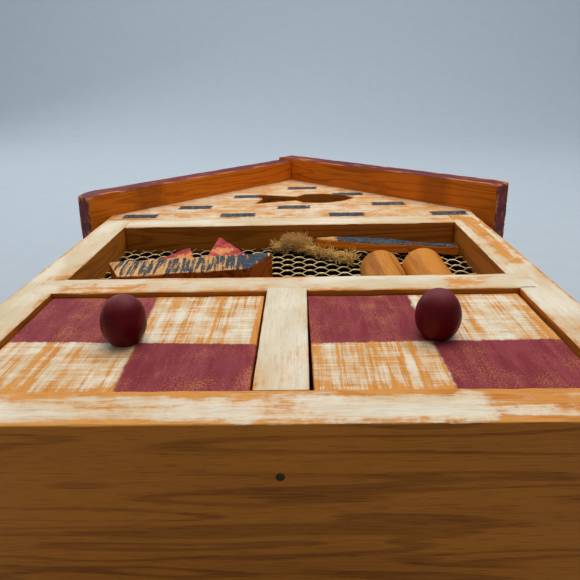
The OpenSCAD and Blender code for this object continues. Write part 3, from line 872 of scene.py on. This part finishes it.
def make_roof():
    """The left board butts against the right one, which laps over its end and stands a little prouder."""
    outer = ROOF_T - PROUD
    tooth_pitch, tooth_low, level_gap = 3.4, 20, 1.25
    for side, eave, flare, turn, droop, round_off in (
            ("left", 17.0, 0.0, 225, 2.4, 1.6), ("right", 19.5, 1.5, -45, 1.0, 0.8)):
        place = turned(WIDTH / 2, RIDGE_Y, 0, turn)
        z = mm_box(side + "_roof_board")[1].z - flare
        length = SLOPE + eave
        laps = side == "right"
        if laps:
            outline = [(-outer, 0, 0.7), (length, 0, 1), (length, outer, 1), (-outer, outer, 1)]
            levels = [tooth_low + level_gap * k for k in range(66)]
        else:
            outline = [(0.1, 0, 0.7), (0.1, -outer, 1), (length, -outer, 1), (length, 0, 1)]
            levels = (30, 60, 90)

        def shape(p, length=length, flare=flare, laps=laps, z=z, droop=droop, round_off=round_off):
            """Saw marks on the right eave's outer edge, the eave's rounded front, and the flare."""
            p = p.copy()
            if laps and p.x > length - 3 and p.y > ROOF_T - 4 and p.z > tooth_low:
                bite = 0.9 * abs(((p.z / tooth_pitch) % 1) - 0.5) * (0.6 + roughly(p, 6, 3))
                p.x -= max(0.0, bite)
                p.y -= max(0.0, bite)
            near = max(0.0, p.z / z) ** 8
            p.z -= droop * near * max(0.0, (p.x - length + 12) / 12) ** 2
            p.x -= round_off * near * max(0.0, (p.x - length + 12) / 12)
            p.z += flare * (p.x + 2 * ROOF_T) / (length + 2 * ROOF_T) * max(0.0, p.z / z)
            return p

        board = worn_prism(side + "_roof", [outline], 0.0, z, place=place, edge=1.2, step=4,
                           seed=8.0 + len(side), levels=levels, shape=shape, chips=0.8)
        dress(board, roof_material(side + "_roof_wood", place, 1 if laps else -1, length, 14 + len(side)))
        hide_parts(side + "_roof_board")


# ---- drawers ----

def make_drawers():
    """Two painted fronts, the right one slightly out of square, and their knobs."""
    for side, slant, mid_x, mid_y in (
            ("left", 0.0, (75, 70.5), (60, 56)), ("right", 1.3, (190.5, 188.5), (57, 58.5))):
        low, high = mm_box(side + "_drawer_front")
        outline = [(low.x + slant * 0.3, low.y), (high.x, low.y), (high.x, high.y),
                   (low.x - slant * 0.6, high.y)]
        front = worn_prism(side + "_front", [outline], low.z, high.z, edge=0.7, seed=21 + slant, chips=0.9,
                           body=side + "_drawer")
        dress(front, panel_material(side + "_check_paint", 40 + slant * 5, low.x, high.x, mid_x, mid_y))
        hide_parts(side + "_drawer_front")
        make_knob(side, lean=0.03 if side == "left" else 0.0)


def make_knob(side, lean):
    """A turned knob: an egg on a small flat foot, a little uneven. lean is how far it tips over to +X."""
    turns, rows, wide, tall = 72, 40, 9.0, 20.0
    foot_r, widest_z = 5.5, 9
    bm = bmesh.new()
    rings = []
    for k in range(rows + 1):
        z = tall * (1 - cos(pi * k / rows)) / 2
        if z > widest_z:
            r = wide * sqrt(max(0.0, 1 - ((z - widest_z) / (tall - widest_z)) ** 2)) ** 1.04
        else:
            r = wide * (1 - (1 - foot_r / wide) * ((widest_z - z) / widest_z) ** 2.3)
        if k == rows:
            top = bm.verts.new((lean * tall, 0, tall))
            break
        ring = []
        for i in range(turns):
            a = 2 * pi * i / turns
            uneven = 1 + 0.006 * roughly((cos(a) * wide, sin(a) * wide, z), 6, 2)
            ring.append(bm.verts.new((r * uneven * cos(a) + lean * z, r * uneven * sin(a), z)))
        rings.append(ring)
    bridge(bm, rings)
    for i in range(turns):
        bm.faces.new((rings[-1][i], rings[-1][(i + 1) % turns], top)).smooth = True
    bm.faces.new(rings[0][::-1])
    low, high = mm_box(side + "_knob")
    place = CABINET @ Matrix.Translation(((low.x + high.x) / 2, (low.y + high.y) / 2, low.z))
    knob = finish_mesh(side + "_pull", bm, place, side + "_drawer")
    dress(knob, knob_material(side + "_pull_paint", 51 + len(side)))
    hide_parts(side + "_knob")


# ---- wire mesh ----

def make_mesh():
    """Expanded metal: flat strands that zigzag between staggered bonds, each strand tilted."""
    low, high = mm_box("wire_mesh")
    pitch_x, pitch_y = 13.7 / 2, 10.2 / 2  # half a diamond
    width, thick, tilt = 0.85, 0.5, radians(24)
    across = Vector((0, cos(tilt), sin(tilt))) * width / 2
    thin = Vector((0, -sin(tilt), cos(tilt))) * thick / 2
    bm = bmesh.new()
    columns = int((RIGHT_X - BOARD + 5) / pitch_x) + 1
    rows = int((TOP_Y - RECESS_Y + 4) / pitch_y)
    start_x = (BOARD + RIGHT_X) / 2 - columns * pitch_x / 2
    start_y = (RECESS_Y + TOP_Y) / 2 - rows * pitch_y / 2
    middle = (low.z + high.z) / 2 - 0.2
    for row in range(rows):
        path = []
        for k in range(columns):
            high_end = (k + row) % 2
            x, y = start_x + k * pitch_x, start_y + (row + high_end) * pitch_y
            toward = -1 if high_end else 1
            for dx in (-0.24, -0.1, 0.1, 0.24):
                sag = pitch_y * 0.06 if abs(dx) > 0.2 else 0.0
                path.append((x + dx * pitch_x, y + toward * (sag + 0.26), 0.6 * toward * (abs(dx) - 0.8)))
        sections = []
        for x, y, dz in path:
            jitter = 0.22 * roughly((x, y, 0), 14, 5)
            c = Vector((x, y + jitter, middle + dz + 0.25 * roughly((x, y, 9), 20, 2)))
            sections.append([bm.verts.new(c + across * a + thin * b)
                             for a, b in ((-1, -1), (1, -1), (1, 1), (-1, 1))])
        bridge(bm, sections, smooth=False)
        bm.faces.new(sections[0])
        bm.faces.new(sections[-1][::-1])
    mesh = finish_mesh("expanded_mesh", bm, CABINET)
    dress(mesh, mesh_material())
    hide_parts("wire_mesh")


# ---- boat, fish and posts ----

def make_boat():
    """A hull with raked ends, lying tilted, and two sails measured from the top of its stern."""
    keel, stern, bow, tall, tilt = 68, 8.5, 16.5, 25.5, 8.5
    keel_x, keel_y = BOARD + 24.2, RECESS_Y + 4.6
    place = turned(keel_x, keel_y, 0, tilt)
    outline = [(0, 0), (keel, 0), (keel + bow, tall), (-stern, tall)]
    hull = worn_prism("hull", [outline], MESH_Z, mm_box("boat_hull")[1].z, place=place, edge=0.9, radius=1.6,
                      step=4, band=2.0, seed=31, chips=1.0)
    stripes_place = place @ Matrix.Rotation(radians(-4), 4, "Z")
    dress(hull, slate_material("hull_paint", stripes_place, 1, 61, 2.3, (rgb(196, 100, 30), rgb(104, 46, 10)),
                               level=-0.03))
    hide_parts("boat_hull")
    for name, node, outline, middle, seed in (
            ("jib", "jib_sail", [(20, 0), (47, 0), (44, 28)], (40, 9), 71),
            ("main", "main_sail", [(53, 0), (80, 0), (62, 48)], (63, 17), 73)):
        low, high = mm_box(node)
        sail_place = place @ Matrix.Translation((-stern, tall, 0))
        sail = worn_prism(name, [outline], low.z, high.z, place=sail_place, edge=0.8, radius=1.0, step=4,
                          band=1.6, seed=seed, chips=1.2)
        dress(sail, sail_material(name + "_paint", sail_place, seed, middle))
        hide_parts(node)


def make_fish():
    """A loose fish, its nose to the left and lifted onto the jute, its tail at the recess's right wall."""
    length, tall, thick, lift, snout = 95, 13, 6, JUTE_D + 1, 12
    tail = Vector((RIGHT_X - 0.4, RECESS_Y + 80.5, MESH_Z + 0.01))
    lean = Matrix.Rotation(asin(lift / length), 4, "Y")
    place = CABINET @ Matrix.Translation(tail) @ lean @ Matrix.Translation((-length / 2, 0, 0))
    outline = [(-x, y) for x, y in fish_outline(length, tall, tall * 0.6, 0.82)][::-1]
    fish = worn_prism("fish", [outline], 0.0, thick, place=place, edge=1.3, radius=0.8, step=4, band=1.0,
                      seed=41, chips=0.6)
    dress(fish, slate_material("fish_paint", place, 0, 81, 0.3, (rgb(250, 150, 40), rgb(196, 98, 20)),
                               level=0.2, snout=snout - length / 2))
    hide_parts("fish_cutout")


def make_posts():
    """Two half-round posts with rounded tops, slightly grooved along the grain."""
    rounding, around, rows = 7, 40, 46
    for name, seed in (("left_post", 3.0), ("right_post", 5.0)):
        low, high = mm_box(name)
        r, h = (high.x - low.x) / 2, high.y - low.y
        middle = (low.x + high.x) / 2
        bm = bmesh.new()
        rings = []
        for k in range(rows + 1):
            y = h * (1 - (1 - k / rows) ** 1.7)
            over = max(0.0, y - h + rounding)
            size = r - rounding + sqrt(max(0.0, rounding ** 2 - over ** 2))
            ring = []
            for i in range(around + 1):
                a = pi * i / around
                fine = roughly((a * 9, y * 0.03, 0), 1.0, seed) * 0.16
                groove = fine + roughly((a * 3, y * 0.02, 0), 1.0, seed) * 0.2
                s = max(0.2, size - abs(groove) * (size > 3))
                z = max(0.0, s * sin(a))
                ring.append(bm.verts.new((-s * cos(a), y, z)))
            rings.append(ring)
        for one, two in zip(rings, rings[1:]):
            for i in range(around):
                bm.faces.new((one[i], two[i], two[i + 1], one[i + 1])).smooth = True
            bm.faces.new((one[-1], two[-1], two[0], one[0]))
        bm.faces.new(rings[0])
        bm.faces.new(rings[-1][::-1])
        bmesh.ops.remove_doubles(bm, verts=bm.verts, dist=0.001)
        place = CABINET @ Matrix.Translation((middle, low.y, MESH_Z))
        post = finish_mesh(name + "_turned", bm, place)
        dress(post, bare_wood_material(name + "_wood", 1, 90 + seed, rgb(216, 140, 50), rgb(138, 70, 16),
                                       rings=6))
        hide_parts(name)


# ---- carried-over CAD nodes ----

def dress_nodes():
    """Gives the CAD nodes that stay in sight their materials."""
    pine, pine_dark = rgb(216, 172, 112), rgb(168, 116, 62)
    dress(nodes["rear_gable_board"], bare_wood_material("rear_gable_wood", 0, 101))
    plywood = bare_wood_material("back_plywood", 1, 102, pine, pine_dark, rings=16, shade_behind_mesh=True)
    dress(nodes["back_panel"], plywood)
    for side in ("left", "right"):
        for part, grain in (("left_side", 2), ("right_side", 2), ("back", 0), ("bottom", 0)):
            name = f"{side}_drawer_{part}"
            dress(nodes[name], bare_wood_material(name + "_wood", grain, 110 + len(name), pine, pine_dark))
    steel = steel_material()
    for name in ("side_nails", "bottom_nails", "roof_nails", "back_brads", "left_knob_screw",
                 "right_knob_screw"):
        dress(nodes[name], steel)


make_cabinet()
make_gable()
make_roof()
make_drawers()
make_mesh()
make_boat()
make_fish()
make_posts()
dress_nodes()


# ---- floor and light ----

def make_floor():
    """A pale floor that sweeps up into a backdrop."""
    near, far, bend, wall, half = -2.5, 1.1, 1.6, 3.4, 5.0
    profile = [(near, 0.0), (0.0, 0.0), (far, 0.0)]
    profile += [(far + bend * sin(pi / 2 * k / 12), bend * (1 - cos(pi / 2 * k / 12))) for k in range(1, 13)]
    profile.append((far + bend, wall))
    bm = bmesh.new()
    rows = [[bm.verts.new((x, y, z)) for x in (-half, half)] for y, z in profile]
    for one, two in zip(rows, rows[1:]):
        bm.faces.new((one[0], one[1], two[1], two[0])).smooth = True
    data = bpy.data.meshes.new("sweep")
    bm.to_mesh(data)
    bm.free()
    floor = add_object("floor", data, None)
    g = Graph("floor_paper", Matrix.Identity(4), roughness=0.8)
    tone = g.step(g.noise(40.0, detail=3), 0.3, 0.7)
    paper = g.mix(tone, rgb(181, 192, 201), rgb(184, 195, 204))
    dress(floor, g.done(paper, g.noise(400, detail=2), 0.05))


def make_light(name, at, to, size, watts, colour):
    lamp = bpy.data.lights.new(name, "AREA")
    lamp.shape, lamp.size, lamp.size_y = "RECTANGLE", size[0], size[1]
    lamp.energy, lamp.color = watts, colour
    holder = bpy.data.objects.new(name, lamp)
    holder.location = at
    holder.rotation_euler = (Vector(to) - Vector(at)).to_track_quat("-Z", "Y").to_euler()
    bpy.context.scene.collection.objects.link(holder)


def make_lights():
    make_light("overhead", (0.15, 0.25, 1.25), (0.0, 0.05, 0.0), (1.3, 1.1), 12, (1.0, 0.97, 0.92))
    make_light("back_left", (-0.9, 1.0, 0.9), (0.0, 0.0, 0.05), (0.9, 0.9), 4, (0.95, 0.97, 1.0))
    make_light("backdrop", (0.0, 1.3, 2.2), (0.0, 2.6, 0.6), (3.0, 1.0), 24, (0.95, 0.98, 1.0))
    world = bpy.data.worlds.new("studio")
    bpy.context.scene.world = world
    world.use_nodes = True
    sky = world.node_tree.nodes["Background"]
    sky.inputs["Color"].default_value = (0.80, 0.84, 0.9, 1)
    sky.inputs["Strength"].default_value = 0.32
    bpy.context.scene.view_settings.view_transform = "Standard"


make_floor()
make_lights()
